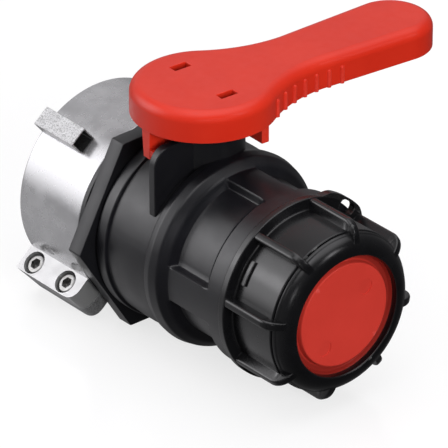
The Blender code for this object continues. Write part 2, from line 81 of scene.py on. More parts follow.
# Stem tower and end-stop plate
TOWER_R, TOWER_TOP, TOWER_LIP_R, STEM_BORE_R = 17.8, 66.0, 19.3, 11.6
STEM_R, STEM_GROOVE_R, STEM_FLANGE_R, STEM_SQUARE = 10.8, 9.0, 13.0, 13.0
STOP_X0, STOP_X1, STOP_Y, STOP_TOP = 6.4, 10.6, -35.4, 55.4

# Handle, drawn pointing along +Y and then turned to its rest pose
HANDLE_REST_DEG = -2.0
HANDLE_TOP, HANDLE_BOTTOM, HANDLE_WALL = 73.9, 60.0, 3.0
HUB_R, NECK_HALF, NECK_Y, TIP_Y, TIP_R = 31.75, 16.2, 52.0, 102.0, 18.6
HANDLE_FILLET = 5.0
GRIP_RIBS, GRIP_FIRST_Y, GRIP_PITCH = 7, 20.5, 6.9

# Clamp ears and box lug, as angles round the flow axis from +Y towards +Z
EAR_DEG, LUG_DEG = 222.0, 129.7
EAR_LENGTH, EAR_REACH, EAR_UP, EAR_DOWN = 39.6, 55.8, 9.6, -9.2
SCREW_X, SCREW_REACH = (7.6, 29.6), 50.0
LUG_LENGTH, LUG_TOP, LUG_HALF = 26.5, 51.7, 4.7
# The last two are the thickness and wall gap of the near-black sheet that paints the shade inside the lug's
# tunnel.
LUG_WALL, LUG_FLOOR_R, LUG_SHADE_SHEET, SHADE_SHEET_GAP = 0.8, 43.2, 0.2, 0.05
DENTS, DENT_DEG, DENT_DEPTH = (16.2, 34.6), 203.0, 0.75

# Cap: rim, wings that roll over onto the front ring, and the strap tab with its slot
RIM_WIDTH, RING_DEPTH, RING_WIDTH, LIP_R = 3.4, 7.3, 7.7, 0.9
FIRST_WING_DEG, WINGS, WING_BEND = 34.5, 8, 156.5
WING_ROLL, WING_TIP_R, WING_ARC_R = 8.0, 31.5, 39.0
TETHER_DEG, TAB_HALF_DEG, TAB_ROOT_R, TAB_RISE = 52.0, 26.0, 40.6, 3.0
SLOT_R, SLOT_HALF_WIDTH, SLOT_SIDES = 39.75, 2.7, (0.2, 4.6)

# Closing disc: face, groove round it, and the places of its ejector marks as (y, z)
DISC_FACE, GROOVE_FLOOR, DISC_R, GROOVE_R = 163.8, 160.9, 23.5, 26.6
EJECTOR_R, EJECTORS = 3.7, ((11.3, 9.6), (-10.9, -12.3))


# ---------------------------------------------------------------- mesh tools

def add_object(name, bm):
    bmesh.ops.remove_doubles(bm, verts=bm.verts, dist=0.002)
    bmesh.ops.scale(bm, vec=(MM, MM, MM), verts=bm.verts)
    bmesh.ops.recalc_face_normals(bm, faces=bm.faces)
    mesh = bpy.data.meshes.new(name)
    bm.to_mesh(mesh)
    bm.free()
    piece = bpy.data.objects.new(name, mesh)
    bpy.context.scene.collection.objects.link(piece)
    return piece


def combine(target, tool, operation):
    step = target.modifiers.new("combine", "BOOLEAN")
    step.object = tool
    step.operation = operation
    step.solver = "EXACT"
    graph = bpy.context.evaluated_depsgraph_get()
    result = bpy.data.meshes.new_from_object(target.evaluated_get(graph))
    target.modifiers.remove(step)
    old = target.data
    target.data = result
    result.name = target.name
    bpy.data.meshes.remove(old)
    bpy.data.objects.remove(tool, do_unlink=True)


def cut(target, *tools):
    for tool in tools:
        combine(target, tool, "DIFFERENCE")


def arc(centre_a, centre_b, radius, start_deg, end_deg, steps):
    angles = [math.radians(start_deg + (end_deg - start_deg) * i / steps) for i in range(steps + 1)]
    return [(centre_a + radius * math.cos(t), centre_b + radius * math.sin(t)) for t in angles]


def rounded(points, steps=4):
    """Rounds the corners of a closed outline given as (a, b, radius)."""
    result = []
    count = len(points)
    for i, (a, b, radius) in enumerate(points):
        corner = Vector((a, b))
        if radius <= 0.0:
            result.append((a, b))
            continue
        before = Vector(points[i - 1][:2]) - corner
        after = Vector(points[(i + 1) % count][:2]) - corner
        half = before.angle(after) / 2.0
        reach = min(radius / math.tan(half), 0.49 * before.length, 0.49 * after.length)
        start = corner + before.normalized() * reach
        end = corner + after.normalized() * reach
        for k in range(steps + 1):
            t = k / steps
            point = start * (1 - t) ** 2 + corner * 2 * t * (1 - t) + end * t ** 2
            result.append((point.x, point.y))
    return result


def about_x(along, radius, angle):
    return Vector((along, radius * math.cos(angle), radius * math.sin(angle)))


def about_z(along, radius, angle):
    return Vector((radius * math.cos(angle), radius * math.sin(angle), along))


def about_y(along, radius, angle):
    return Vector((radius * math.sin(angle), along, radius * math.cos(angle)))


def lathe(name, profile, place=about_x, segments=160, height=None, angles=None):
    """Turns a closed (along, radius) outline a full circle; height(along, radius, angle) may reshape it."""
    bm = bmesh.new()
    if angles is None:
        angles = [math.tau * i / segments for i in range(segments)]
    segments = len(angles)
    columns = []
    for along, radius in profile:
        if radius < 1e-6:
            pole = bm.verts.new(place(along, 0.0, 0.0))
            columns.append([pole] * segments)
            continue
        column = []
        for angle in angles:
            reach = height(along, radius, angle) if height else radius
            column.append(bm.verts.new(place(along, reach, angle)))
        columns.append(column)
    for first, second in zip(columns, columns[1:] + columns[:1]):
        for i in range(segments):
            j = (i + 1) % segments
            corners = []
            for vert in (first[i], first[j], second[j], second[i]):
                if vert not in corners:
                    corners.append(vert)
            if len(corners) > 2:
                bm.faces.new(corners)
    return add_object(name, bm)


def loft(name, loops):
    bm = bmesh.new()
    rows = [[bm.verts.new(point) for point in loop] for loop in loops]
    count = len(rows[0])
    for lower, upper in zip(rows, rows[1:]):
        for i in range(count):
            j = (i + 1) % count
            bm.faces.new((lower[i], lower[j], upper[j], upper[i]))
    bm.faces.new(rows[0][::-1])
    bm.faces.new(rows[-1])
    return add_object(name, bm)


def box(name, low, high, turn=None):
    (x0, y0, z0), (x1, y1, z1) = low, high
    base = [(x0, y0), (x1, y0), (x1, y1), (x0, y1)]
    loops = [[Vector((x, y, z)) for x, y in base] for z in (z0, z1)]
    if turn is not None:
        loops = [[turn @ point for point in loop] for loop in loops]
    return loft(name, loops)


def prism(name, outline, ends, turn=None):
    """Pushes a flat outline of (b, c) points along the first axis, from one end to the other."""
    loops = [[Vector((a, b, c)) for b, c in outline] for a in ends]
    if turn is not None:
        loops = [[turn @ point for point in loop] for loop in loops]
    return loft(name, loops)


def radial_frame(angle_deg):
    """Maps (along the flow, outward, sideways) to world axes at this angle round X."""
    turn = math.radians(angle_deg)
    outward = Vector((0.0, math.cos(turn), math.sin(turn)))
    sideways = Vector((0.0, math.sin(turn), -math.cos(turn)))
    return Matrix((Vector((1.0, 0.0, 0.0)), outward, sideways)).transposed()


def sector(name, profile, start_deg, end_deg, steps, height=None):
    loops = []
    for i in range(steps + 1):
        angle = math.radians(start_deg + (end_deg - start_deg) * i / steps)
        loops.append([about_x(x, height(x, r, angle) if height else r, angle) for x, r in profile])
    return loft(name, loops)


def helix_ridge(name, start, root_r, crest_r, root_width, crest_width, turns):
    loops = []
    total = int(turns * THREAD_STEPS)
    fade = THREAD_STEPS // 4
    for i in range(total + 1):
        angle = math.tau * (i + 0.5) / THREAD_STEPS
        along = start + THREAD_PITCH * i / THREAD_STEPS
        share = min(1.0, (i + 0.6) / fade, (total - i + 0.6) / fade)
        top = root_r + (crest_r - root_r) * share
        section = rounded([
            (along - root_width / 2, root_r, 0.0), (along - crest_width / 2, top, 0.3),
            (along + crest_width / 2, top, 0.3), (along + root_width / 2, root_r, 0.0),
        ], 2)
        loops.append([about_x(x, r, angle) for x, r in section])
    return loft(name, loops)


def smooth_step(value, low, high):
    t = min(1.0, max(0.0, (value - low) / (high - low)))
    return t * t * (3.0 - 2.0 * t)


def smooth_max(a, b, width):
    """The larger of two heights, with a fillet of about this width where they meet."""
    h = max(width - abs(a - b), 0.0) / width
    return max(a, b) + h * h * width * 0.25


def denser(profile, longest):
    """Splits an open outline's long runs so that no step is longer than this."""
    result = [profile[0]]
    for (a0, b0), (a1, b1) in zip(profile, profile[1:]):
        parts = max(1, math.ceil(math.hypot(a1 - a0, b1 - b0) / longest))
        result += [(a0 + (a1 - a0) * k / parts, b0 + (b1 - b0) * k / parts) for k in range(1, parts + 1)]
    return result


def angles_near(centres_deg, offsets_deg, spacing_deg):
    """Angles round a full circle: an even spacing, closer together at the given offsets from each centre."""
    reach = max(offsets_deg)
    chosen = []
    for centre in centres_deg:
        chosen += [(centre + side * offset) % 360.0 for offset in offsets_deg for side in (-1, 1)]
    for k in range(round(360.0 / spacing_deg)):
        angle = k * spacing_deg
        away = min(abs((angle - centre + 180.0) % 360.0 - 180.0) for centre in centres_deg)
        if away > reach + 0.4 * spacing_deg:
            chosen.append(angle)
    chosen = sorted(set(round(angle, 4) for angle in chosen))
    return [math.radians(angle) for angle in chosen]


def dress(piece, look, body, node, edge=0.0, steps=3, smooth_deg=32.0):
    """Rounds sharp edges by this many millimetres, gives the finish, and ties the piece to the model."""
    piece.data.materials.clear()
    piece.data.materials.append(LOOKS[look])
    piece.data.shade_smooth()
    if edge > 0.0:
        bevel = piece.modifiers.new("edges", "BEVEL")
        bevel.width = edge * MM
        bevel.segments = steps
        bevel.limit_method = "ANGLE"
        bevel.angle_limit = math.radians(smooth_deg)
        bevel.use_clamp_overlap = True
        bevel.miter_outer = "MITER_ARC"
        even = piece.modifiers.new("even_shading", "WEIGHTED_NORMAL")
        even.weight = 80
    else:
        piece.data.set_sharp_from_angle(angle=math.radians(smooth_deg))
    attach(piece, body)
    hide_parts(node)
    return piece


# ---------------------------------------------------------------- materials

SOCKETS = {
    "colour": "Base Color", "roughness": "Roughness", "normal": "Normal", "metallic": "Metallic",
    "gloss": "Specular IOR Level",
}


class Nodes:
    """Short names for building one material's node tree."""

    def __init__(self, name):
        self.material = bpy.data.materials.new(name)
        self.material.use_nodes = True
        self.tree = self.material.node_tree
        self.shader = self.tree.nodes["Principled BSDF"]
        self.place = self.tree.nodes.new("ShaderNodeTexCoord").outputs["Object"]

    def link(self, source, target):
        self.tree.links.new(source, target)

    def noise(self, scale, detail=3.0, roughness=0.5, stretch=None):
        node = self.tree.nodes.new("ShaderNodeTexNoise")
        node.inputs["Scale"].default_value = scale
        node.inputs["Detail"].default_value = detail
        node.inputs["Roughness"].default_value = roughness
        place = self.place
        if stretch:
            scaler = self.tree.nodes.new("ShaderNodeVectorMath")
            scaler.operation = "MULTIPLY"
            scaler.inputs[1].default_value = stretch
            self.link(self.place, scaler.inputs[0])
            place = scaler.outputs["Vector"]
        self.link(place, node.inputs["Vector"])
        return node.outputs["Fac"]

    def spread(self, source, low, high, start=0.3, end=0.7):
        """Maps a noise or wear value onto a range."""
        node = self.tree.nodes.new("ShaderNodeMapRange")
        node.inputs["From Min"].default_value = start
        node.inputs["From Max"].default_value = end
        node.inputs["To Min"].default_value = low
        node.inputs["To Max"].default_value = high
        self.link(source, node.inputs["Value"])
        return node.outputs["Result"]

    def wear(self, start, end):
        """0 on flats and 1 on convex edges."""
        pointiness = self.tree.nodes.new("ShaderNodeNewGeometry").outputs["Pointiness"]
        return self.spread(pointiness, 0.0, 1.0, start, end)

    def away_from_x(self, near_mm, far_mm):
        """0 inside the near radius round the X axis and 1 beyond the far one."""
        flat = self.tree.nodes.new("ShaderNodeVectorMath")
        flat.operation = "MULTIPLY"
        flat.inputs[1].default_value = (0.0, 1.0, 1.0)
        self.link(self.place, flat.inputs[0])
        length = self.tree.nodes.new("ShaderNodeVectorMath")
        length.operation = "LENGTH"
        self.link(flat.outputs["Vector"], length.inputs[0])
        return self.spread(length.outputs["Value"], 0.0, 1.0, near_mm * MM, far_mm * MM)

    def times(self, a, b):
        node = self.tree.nodes.new("ShaderNodeMath")
        node.operation = "MULTIPLY"
        self.link(a, node.inputs[0])
        self.link(b, node.inputs[1])
        return node.outputs["Value"]

    def colours(self, factor, first, second):
        node = self.tree.nodes.new("ShaderNodeMix")
        node.data_type = "RGBA"
        for socket, value in ((node.inputs["A"], first), (node.inputs["B"], second)):
            if isinstance(value, tuple):
                socket.default_value = (*value, 1.0)
            else:
                self.link(value, socket)
        self.link(factor, node.inputs["Factor"])
        return node.outputs["Result"]

    def bump(self, height, depth_mm, below=None):
        node = self.tree.nodes.new("ShaderNodeBump")
        node.inputs["Strength"].default_value = 1.0
        node.inputs["Distance"].default_value = depth_mm * MM
        self.link(height, node.inputs["Height"])
        if below is not None:
            self.link(below, node.inputs["Normal"])
        return node.outputs["Normal"]

    def set(self, **values):
        for key, value in values.items():
            socket = self.shader.inputs[SOCKETS[key]]
            if isinstance(value, (int, float)):
                socket.default_value = value
            else:
                self.link(value, socket)
        return self.material


def moulded_black(name, base, roughness, grain_mm, pale_edges):
    """Black polymer: a fine moulded grain, cloudy gloss, and paler edges, partly rubbed wear and partly
    painted highlight.
    """
    n = Nodes(name)
    cloud = n.noise(70.0, 4.0)
    patch = n.colours(n.spread(cloud, 0.0, 1.0), tuple(c * 0.8 for c in base), tuple(c * 1.25 for c in base))
    # Paler convex edges: partly rubbed wear, partly a painted highlight standing in for glints on rounded
    # edges.
    scuff_and_glint = n.times(n.wear(0.52, 0.6), n.spread(n.noise(900.0, 2.0), 0.2, 1.0))
    colour = n.colours(scuff_and_glint, patch, (pale_edges, pale_edges, pale_edges))
    fine = n.bump(n.noise(2600.0, 2.0), grain_mm)
    normal = n.bump(n.noise(160.0, 3.0), grain_mm * 3.0, fine)
    return n.set(colour=colour, gloss=0.62, normal=normal,
                 roughness=n.spread(cloud, roughness - 0.05, roughness + 0.07))


def moulded_red(name, base, deep, roughness, painted_groove_shade=None):
    """Red polymer: uneven pigment, paler rubbed edges, a faint skin, and optionally painted shade beyond a
    radius round X.
    """
    n = Nodes(name)
    cloud = n.noise(45.0, 4.0)
    patch = n.colours(n.spread(cloud, 0.0, 1.0, 0.35, 0.65), deep, base)
    pale_edges = n.times(n.wear(0.52, 0.62), n.spread(n.noise(700.0, 2.0), 0.3, 1.0))
    pale = tuple(min(1.0, c * 1.15 + 0.05) for c in base)
    fine = n.bump(n.noise(2200.0, 2.0), 0.012)
    normal = n.bump(n.noise(120.0, 3.0), 0.05, fine)
    colour = n.colours(pale_edges, patch, pale)
    # Painted shade: beyond these radii round X the red falls to 0.42 of its base, as the shadow in the
    # groove under the cap's lip.
    if painted_groove_shade:
        colour = n.colours(n.away_from_x(*painted_groove_shade), colour, tuple(c * 0.42 for c in base))
    return n.set(colour=colour, gloss=0.40, normal=normal,
                 roughness=n.spread(n.noise(260.0, 3.0), roughness - 0.05, roughness + 0.06))


def cast_aluminium(name, shade, pale_edges, roughness, pit_mm, mottle):
    """Aluminium as cast: soft orange-peel skin, small pits and rubbed edges."""
    n = Nodes(name)
    cloud = n.noise(130.0, 5.0)
    speck = n.noise(1500.0, 3.0, 0.7)
    low, high = shade * 0.92, shade * 1.08
    base = n.colours(n.spread(cloud, 0.0, 1.0), (low, low, low * 1.015), (high, high, high * 1.015))
    pitted = n.colours(n.spread(speck, mottle, 0.0, 0.42, 0.51), base, (0.17, 0.17, 0.175))
    colour = n.colours(n.wear(0.52, 0.6), pitted, (pale_edges, pale_edges, pale_edges))
    fine = n.bump(speck, pit_mm)
    normal = n.bump(n.noise(220.0, 3.0), pit_mm * 2.0, fine)
    return n.set(colour=colour, metallic=0.72, normal=normal,
                 roughness=n.spread(cloud, roughness - 0.06, roughness + 0.08))


def zinc_steel(name):
    n = Nodes(name)
    turned = n.noise(2400.0, 2.0, 0.5, (1.0, 0.2, 0.2))
    colour = n.colours(n.spread(n.noise(600.0, 3.0), 0.0, 1.0), (0.30, 0.295, 0.28), (0.44, 0.44, 0.44))
    return n.set(colour=colour, metallic=1.0, roughness=n.spread(turned, 0.22, 0.42),
                 normal=n.bump(turned, 0.012))


def plain_polymer(name, base, roughness, grain_mm):
    """PTFE, ball polymer and rubber: soft colour variation and a faint machined or moulded grain."""
    n = Nodes(name)
    cloud = n.noise(240.0, 4.0)
    colour = n.colours(n.spread(cloud, 0.0, 1.0), tuple(c * 0.86 for c in base), base)
    return n.set(colour=colour, roughness=n.spread(cloud, roughness - 0.06, roughness + 0.06),
                 normal=n.bump(n.noise(1800.0, 2.0), grain_mm))


LOOKS = {
    "body_black": moulded_black("body_black", (0.0055, 0.0055, 0.0073), 0.34, 0.009, 0.012),
    # The cap's pale edge value, far above its base, is mostly a painted edge highlight.
    "cap_black": moulded_black("cap_black", (0.0044, 0.0044, 0.0050), 0.24, 0.007, 0.10),
    "handle_red": moulded_red("handle_red", (0.67, 0.030, 0.012), (0.63, 0.025, 0.010), 0.34),
    # The disc's last argument paints shade into the groove round its face, from 23.7 mm out.
    "disc_red": moulded_red("disc_red", (0.62, 0.046, 0.032), (0.58, 0.042, 0.029), 0.34, (23.7, 24.9)),
    "clamp_cast": cast_aluminium("clamp_cast", 0.55, 0.85, 0.25, 0.008, 0.0),
    "clamp_rough": cast_aluminium("clamp_rough", 0.66, 0.74, 0.36, 0.3, 1.0),
    "ear_cast": cast_aluminium("ear_cast", 0.46, 0.60, 0.36, 0.10, 0.9),
    # Near-black: painted shade for the inside of the lug's tunnel.
    "tunnel_shade": cast_aluminium("tunnel_shade", 0.05, 0.05, 0.60, 0.1, 0.5),
    "screw_steel": zinc_steel("screw_steel"),
    "seal_black": plain_polymer("seal_black", (0.013, 0.013, 0.013), 0.62, 0.02),
    "seat_white": plain_polymer("seat_white", (0.80, 0.79, 0.76), 0.45, 0.01),
    "ball_pale": plain_polymer("ball_pale", (0.58, 0.58, 0.55), 0.24, 0.004),
}


# ---------------------------------------------------------------- black body

POCKET_HALF_DEG, POCKET_WALL = 34.0, 1.5
POCKET_X0, POCKET_X1 = NECK_START + 0.2, POCKET_END + 3.4


def body_radius(along, radius, angle):
    """Sinks a shallow pocket into the neck between each pair of lands."""
    if not POCKET_X0 - 2.0 < along < POCKET_X1 + 0.1:
        return radius
    away = abs((math.degrees(angle) - 45.0) % 90.0)
    away = min(away, 90.0 - away)
    side = math.radians(POCKET_HALF_DEG - away) * POCKET_R
    depth = smooth_step(side, 0.0, POCKET_WALL)
    back = smooth_step(along, POCKET_X0 - 1.6, POCKET_X0 + 0.9)
    front = min(1.0, max(0.0, (POCKET_X1 - along) / 3.4)) ** 0.85
    return radius - max(0.0, radius - POCKET_R) * depth * back * front


def make_body():
    outer = rounded([
        (BODY_START, 38.9, 0.0), (BODY_START, COLLAR_R, 2.0), (58.4, COLLAR_R, 1.2), (58.9, 42.8, 0.5),
        (STEM_X, BARREL_R, 400.0), (84.0, 42.5, 0.5), (84.9, 44.3, 1.2), (FLANGE_CREST, FLANGE_R + 0.1, 3.0),
        (92.6, 43.9, 2.6), (96.4, LAND_R, 1.2), (SHOULDER_END, LAND_R, 0.4),
        (SHOULDER_END, SPIGOT_R + 6.0, 0.0),
        (SHOULDER_END, SPIGOT_R, 0.4), (SPIGOT_END, SPIGOT_R, 0.6), (SPIGOT_END, BORE_R, 0.0),
    ], 5)
    inner = [(98.6, BORE_R), (98.6, 31.3), (86.8, 31.3), (84.6, 38.2), (57.8, 38.2), (57.8, 38.9)]
    ends = [POCKET_HALF_DEG, POCKET_HALF_DEG - 0.4, POCKET_HALF_DEG - 0.8, POCKET_HALF_DEG - 1.2]
    ends += [POCKET_HALF_DEG - 1.6, POCKET_HALF_DEG - 2.0, POCKET_HALF_DEG - 2.5, POCKET_HALF_DEG + 0.5]
    angles = angles_near([45.0 + 90.0 * k for k in range(4)], ends + [k * 2.0 for k in range(15)], 2.0)
    body = lathe("body_shell", denser(outer, 0.9) + inner, about_x, height=body_radius, angles=angles)
    section = [(30.0, 0.0), (30.0, STEM_BORE_R), (60.0, STEM_BORE_R), (60.0, 0.0)]
    bore = lathe("stem_bore", section, about_z, 48)
    bore.location.x = STEM_X * MM
    bpy.context.view_layer.update()
    cut(body, bore)
    dress(body, "body_black", "valve", "valve_body", smooth_deg=40.0)
    ridge = helix_ridge("outlet_thread", THREAD_START, SPIGOT_R - 0.6, 29.7, 3.2, 1.5, 2.5)
    dress(ridge, "body_black", "valve", "valve_body", smooth_deg=60.0)


def make_tower():
    profile = rounded([
        (38.9, STEM_BORE_R, 0.0), (38.9, TOWER_R, 0.0), (TOWER_TOP - 3.2, TOWER_R, 0.6),
        (TOWER_TOP - 2.0, TOWER_LIP_R, 0.3), (TOWER_TOP, TOWER_LIP_R, 0.6), (TOWER_TOP, STEM_BORE_R, 0.4),
    ], 4)
    tower = lathe("stem_tower", profile, about_z, 128)
    tower.location.x = STEM_X * MM
    bpy.context.view_layer.update()
    tower.data.transform(tower.matrix_world)
    tower.matrix_world = Matrix.Identity(4)
    dress(tower, "body_black", "valve", "valve_body")
    corner = 8.5
    side = [(STOP_Y, 24.0)] + arc(STOP_Y + corner, STOP_TOP - corner, corner, 180, 90, 20)
    side += [(-13.0, STOP_TOP), (-13.0, 24.0)]
    plate = prism("stop_plate", side, (STEM_X + STOP_X0, STEM_X + STOP_X1))
    dress(plate, "body_black", "valve", "valve_body", edge=0.7)


def make_end_nut():
    rim = []
    for k in range(6):
        turn = math.radians(60 * k + HEX_TURN_DEG)
        rim.append((HEX_R * math.cos(turn), HEX_R * math.sin(turn), 1.1))
    layers = ((HEX_START, 0.55), (HEX_START + 0.25, 0.12), (HEX_START + 0.6, 0.0), (HEX_END - 0.6, 0.0),
              (HEX_END - 0.25, 0.12), (HEX_END, 0.55))
    loops = []
    for along, inset in layers:
        shrink = 1.0 - inset / HEX_R
        loops.append([Vector((along, y * shrink, z * shrink)) for y, z in rounded(rim, 5)])
    hexagon = loft("end_nut_hexagon", loops)
    cut(hexagon, lathe("hole", [(40.0, 0.0), (40.0, 36.0), (54.0, 36.0), (54.0, 0.0)], about_x, 96))
    dress(hexagon, "body_black", "valve", "inlet_end_nut", smooth_deg=35.0)
    profile = rounded([
        (22.0, BORE_R, 0.3), (22.0, 40.6, 0.6), (36.2, 40.6, 0.5), (36.2, 33.5, 0.3), (41.0, 33.5, 0.0),
        (41.0, NUT_LIP_R, 0.5), (43.2, NUT_LIP_R, 0.2), (43.2, 38.6, 0.0), (52.4, 38.6, 0.0),
        (52.4, 36.1, 0.0), (55.2, 36.1, 0.0), (55.2, 38.6, 0.0),
        (57.4, 38.6, 0.4), (57.4, 36.0, 0.0), (55.8, 36.0, 0.0), (55.8, 31.3, 0.0), (44.0, 31.3, 0.0),
        (44.0, BORE_R, 0.4),
    ], 3)
    dress(lathe("end_nut_sleeve", profile), "body_black", "valve", "inlet_end_nut")


# ---------------------------------------------------------------- clamp

def clamp_radius(along, radius, angle):
    """Sinks the floor of the lug's tunnel and leaves two small dents above the ears."""
    if radius < CLAMP_R - 0.7:
        return radius
    degrees = math.degrees(angle) % 360.0
    side = math.radians(degrees - LUG_DEG) * CLAMP_R
    inside = smooth_step(LUG_HALF - 0.7 - abs(side), 0.0, 0.7) * smooth_step(along, 1.2, 2.4)
    floor = LUG_FLOOR_R + 1.8 * smooth_step(along, LUG_LENGTH - 0.4, LUG_LENGTH + 1.6)
    radius -= inside * max(0.0, radius - floor)
    across = math.radians(degrees - DENT_DEG) * CLAMP_R
    for dent_x in DENTS:
        spread = math.hypot((along - dent_x) / 2.3, across / 1.2)
        radius -= DENT_DEPTH * smooth_step(1.25 - spread, 0.0, 0.7)
    return radius


def make_clamp():
    profile = rounded([
        (0.0, CLAMP_R, 0.5), (CLAMP_END, CLAMP_R, 0.6), (CLAMP_END, 35.0, 0.5), (36.5, 35.0, 0.5),
        (36.5, CLAMP_INNER_R, 0.6), (4.0, CLAMP_INNER_R, 0.6), (4.0, 36.0, 0.5), (0.0, 36.0, 0.5),
    ], 4)
    profile = denser(profile + profile[:1], 0.8)[:-1]
    split = EAR_DEG + 1.9
    band = sector("clamp_band", profile, split + 1.0, split + 359.0, 520, clamp_radius)
    dress(band, "clamp_cast", "valve", "clamp_ring", smooth_deg=45.0)
    ear = radial_frame(EAR_DEG)
    for name, low, high in (("upper", -1.3, EAR_UP), ("lower", EAR_DOWN, -1.7)):
        outline = rounded([
            (0.0, 42.0, 0.0), (0.0, EAR_REACH, 1.0), (EAR_LENGTH, EAR_REACH, 11.0), (EAR_LENGTH, 42.0, 0.0),
        ], 12)
        loops = [[ear @ Vector((x, out, side)) for x, out in outline] for side in (low, high)]
        block = loft(f"clamp_ear_{name}", loops)
        for centre in SCREW_X:
            cut(block, *screw_holes(centre))
        dress(block, "ear_cast", "valve", "clamp_ring", edge=0.45)
    make_lug()


def make_lug():
    """Box-shaped lug with a tunnel open towards the outlet, and a near-black sheet inside it as painted
    shade of the hollow.
    """
    lug = radial_frame(LUG_DEG)

    def block(name, start, end, floor, inset):
        half = LUG_HALF - inset
        return box(name, (start, floor, -half), (end, LUG_TOP - inset, half), lug)

    beyond = LUG_LENGTH + 3.0
    sheet_outer, sheet_inner = LUG_WALL + SHADE_SHEET_GAP, LUG_WALL + SHADE_SHEET_GAP + LUG_SHADE_SHEET
    shell = block("clamp_lug", 0.0, LUG_LENGTH, 42.0, 0.0)
    cut(shell, block("tunnel", 2.0, beyond, LUG_FLOOR_R, LUG_WALL))
    dress(shell, "clamp_rough", "valve", "clamp_ring", edge=0.4)
    # Painted shade: a near-black sheet just inside the tunnel's walls stands in for the darkness of the deep
    # hollow.
    shade_sheet = block("clamp_lug_shade_sheet", 2.1, LUG_LENGTH - 0.5, LUG_FLOOR_R + 0.1, sheet_outer)
    cut(shade_sheet, block("hollow", 2.4, beyond, LUG_FLOOR_R + 0.3, sheet_inner))
    dress(shade_sheet, "tunnel_shade", "valve", "clamp_ring")


def screw_axis(centre):
    frame_at_ear = radial_frame(EAR_DEG)
    across, outward, normal = (frame_at_ear @ Vector(axis) for axis in ((1, 0, 0), (0, 1, 0), (0, 0, 1)))
    turn = Matrix((across, normal.cross(across), normal)).transposed().to_4x4()
    origin = across * centre + outward * SCREW_REACH + normal * EAR_UP
    return Matrix.Translation(origin * MM) @ turn


def screw_holes(centre):
    pocket = lathe("pocket", [(-5.6, 0.0), (-5.6, 5.4), (3.0, 5.4), (3.0, 0.0)], about_z, 64)
    shank = lathe("shank_hole", [(-25.0, 0.0), (-25.0, 3.4), (-5.0, 3.4), (-5.0, 0.0)], about_z, 40)
    for tool in (pocket, shank):
        tool.matrix_world = screw_axis(centre)
    bpy.context.view_layer.update()
    return pocket, shank


def knurled(along, radius, angle):
    return radius - 0.22 if radius > 4.2 and math.sin(angle * 36) > 0.6 else radius


def make_clamp_screw(name, centre, node):
    """Socket-head screw: knurled head, chamfered rim and a hexagon socket."""
    profile = rounded([
        (-17.5, 0.0, 0.0), (-17.5, 3.0, 0.5), (-5.3, 3.0, 0.2), (-5.3, 4.4, 0.3), (-1.0, 4.4, 0.9),
        (-1.0, 0.0, 0.0),
    ], 4)
    screw = lathe(name, profile, about_z, 216, knurled)
    cut(screw, lathe("socket", [(-4.2, 0.0), (-4.0, 2.7), (1.0, 2.7), (1.0, 0.0)], about_z, 6))
    screw.data.transform(screw_axis(centre))
    dress(screw, "screw_steel", "valve", node)


# ---------------------------------------------------------------- handle

def handle_outline(inset=0.0):
    """Plan of the handle: round hub, waisted neck, round-ended paddle along +Y."""
    hub, neck, tip = HUB_R - inset, NECK_HALF - inset, TIP_R - inset
    sweep = (neck * neck + NECK_Y * NECK_Y - hub * hub) / (2.0 * (hub - neck))
    meet = math.degrees(math.atan2(NECK_Y, neck + sweep))
    half = arc(0.0, 0.0, hub, -90.0, meet, 44)
    half += arc(neck + sweep, NECK_Y, sweep, 180.0 + meet, 180.0, 24)[1:]
    half += arc(0.0, TIP_Y, tip, 0.0, 90.0, 24)
    return half + [(-x, y) for x, y in half[-2:0:-1]]


def handle_half_width(y):
    sweep = (NECK_HALF ** 2 + NECK_Y ** 2 - HUB_R ** 2) / (2.0 * (HUB_R - NECK_HALF))
    if y > NECK_Y:
        return NECK_HALF + (TIP_R - NECK_HALF) * (y - NECK_Y) / (TIP_Y - NECK_Y)
    if y < HUB_R * math.sin(math.atan2(NECK_Y, NECK_HALF + sweep)):
        return math.sqrt(HUB_R ** 2 - y ** 2)
    return NECK_HALF + sweep - math.sqrt(sweep ** 2 - (NECK_Y - y) ** 2)


def on_handle(piece):
    """Moves a piece drawn round the stem, handle along +Y, to its rest pose."""
    turn = Matrix.Rotation(math.radians(HANDLE_REST_DEG), 4, "Z")
    piece.data.transform(Matrix.Translation((STEM_X * MM, 0.0, 0.0)) @ turn)
    return piece


def make_handle_shell():
    layers = [(HANDLE_WALL, HANDLE_TOP - HANDLE_WALL), (HANDLE_WALL, HANDLE_BOTTOM), (0.0, HANDLE_BOTTOM)]
    layers += [(0.0, HANDLE_BOTTOM + 4.0)]
    for k in range(15):
        t = math.radians(90.0 * k / 14)
        layers.append((HANDLE_FILLET * (1 - math.cos(t)), HANDLE_TOP - HANDLE_FILLET * (1 - math.sin(t))))
    loops = [[Vector((x, y, z)) for x, y in handle_outline(inset)] for inset, z in layers]
    shell = loft("handle_shell", loops)
    for x in (-16.3, 16.3):
        low = (x - 2.15, -4.3, HANDLE_TOP - HANDLE_WALL - 2.0)
        cut(shell, box("window", low, (x + 2.15, 4.3, HANDLE_TOP + 2.0)))
    dress(on_handle(shell), "handle_red", "handle", "handle", edge=0.3, steps=3, smooth_deg=50.0)


